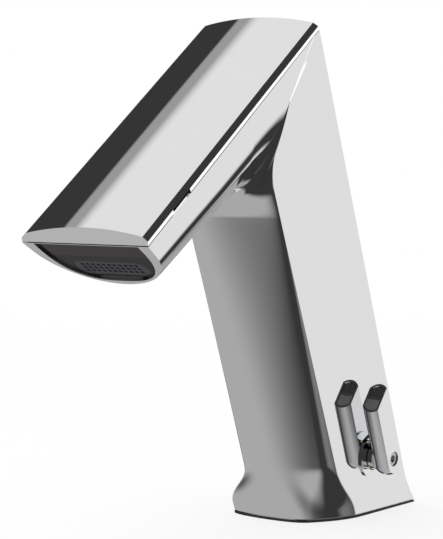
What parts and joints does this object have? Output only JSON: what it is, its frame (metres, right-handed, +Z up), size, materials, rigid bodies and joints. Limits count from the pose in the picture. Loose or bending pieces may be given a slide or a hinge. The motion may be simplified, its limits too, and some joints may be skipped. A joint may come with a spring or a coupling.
{
  "type": "sensor tap",
  "caption": "Deck-mounted touchless basin tap with a leaning stem, a sloping spout under a lift-off cover, a sensor face and a side mixing lever.",
  "frame": {"origin": "centre of the fixing stud's threaded bush, in the deck plane under the base gasket", "axes": "+Z up, the spout runs towards -Y, the mixing lever is on +X"},
  "size_m": [0.0575, 0.1926, 0.1872],
  "materials": {
    "chrome": "polished chrome plate",
    "seal": "matt black rubber",
    "spring_steel": "bright stainless steel",
    "black_plastic": "gloss black plastic",
    "dark_window": "gloss dark window plastic",
    "circuit_board": "green circuit board",
    "grey_plastic": "matt dark grey plastic",
    "white_plastic": "matt white plastic",
    "ceramic": "lapped white ceramic",
    "brass": "turned brass",
    "inset_dark": "matt dark grey inlay",
    "inset_mid": "matt mid grey inlay"
  },
  "bodies": {
    "casting": {"body": "chrome", "crown_gasket": "seal", "face_insert": "black_plastic", "sensor_window": "dark_window", "sensor_board": "circuit_board", "ir_emitter": "dark_window", "ir_receiver": "dark_window", "outlet_housing": "grey_plastic", "outlet_mesh": "spring_steel", "control_module": "grey_plastic", "battery_pack": "black_plastic", "battery_bracket": "spring_steel", "valve_body": "grey_plastic", "valve_coil": "grey_plastic", "valve_spring": "spring_steel", "valve_diaphragm": "seal", "riser_tube": "white_plastic", "outlet_tube": "white_plastic", "tube_orings": "seal", "cartridge_body": "white_plastic", "cartridge_nut": "brass", "fixed_disc": "ceramic", "mixer_collar": "chrome", "base_plate": "spring_steel", "base_gasket": "seal", "plate_screws": "spring_steel", "stud_bush": "brass", "hot_inlet": "brass", "cold_inlet": "brass", "hot_spring": "spring_steel", "cold_spring": "spring_steel", "cable_gland": "seal"},
    "lever": {"mixer_lever": "chrome", "spindle": "brass", "turning_disc": "ceramic", "lever_screw": "spring_steel", "hot_inset": "inset_dark", "cold_inset": "inset_mid"},
    "cover": {"crown": "chrome", "crown_clips": "spring_steel"},
    "plunger": {"valve_plunger": "spring_steel"},
    "hot_poppet": {"hot_check": "white_plastic"},
    "cold_poppet": {"cold_check": "white_plastic"}
  },
  "joints": [
    {"name": "mixer_turn", "type": "hinge", "parent": "casting", "child": "lever", "pos_m": [0.02234, 0.00166, 0.02271], "axis": [0.993, -0.1091, -0.0461], "range_deg": [-45, 45]},
    {"name": "cover_lift", "type": "slide", "parent": "casting", "child": "cover", "axis": [0, -0.5402, 0.8415], "range_m": [0, 0.03]},
    {"name": "plunger_pull", "type": "slide", "parent": "casting", "child": "plunger", "axis": [0, 0.3891, -0.9212], "range_m": [0, 0.0015], "stiffness_N_per_m": 300, "springref_m": -0.003, "deforming": ["valve_spring"]},
    {"name": "hot_check_lift", "type": "slide", "parent": "casting", "child": "hot_poppet", "axis": [0, 0, 1], "range_m": [0, 0.002], "stiffness_N_per_m": 100, "springref_m": -0.002, "deforming": ["hot_spring"]},
    {"name": "cold_check_lift", "type": "slide", "parent": "casting", "child": "cold_poppet", "axis": [0, 0, 1], "range_m": [0, 0.002], "stiffness_N_per_m": 100, "springref_m": -0.002, "deforming": ["cold_spring"]}
  ]
}
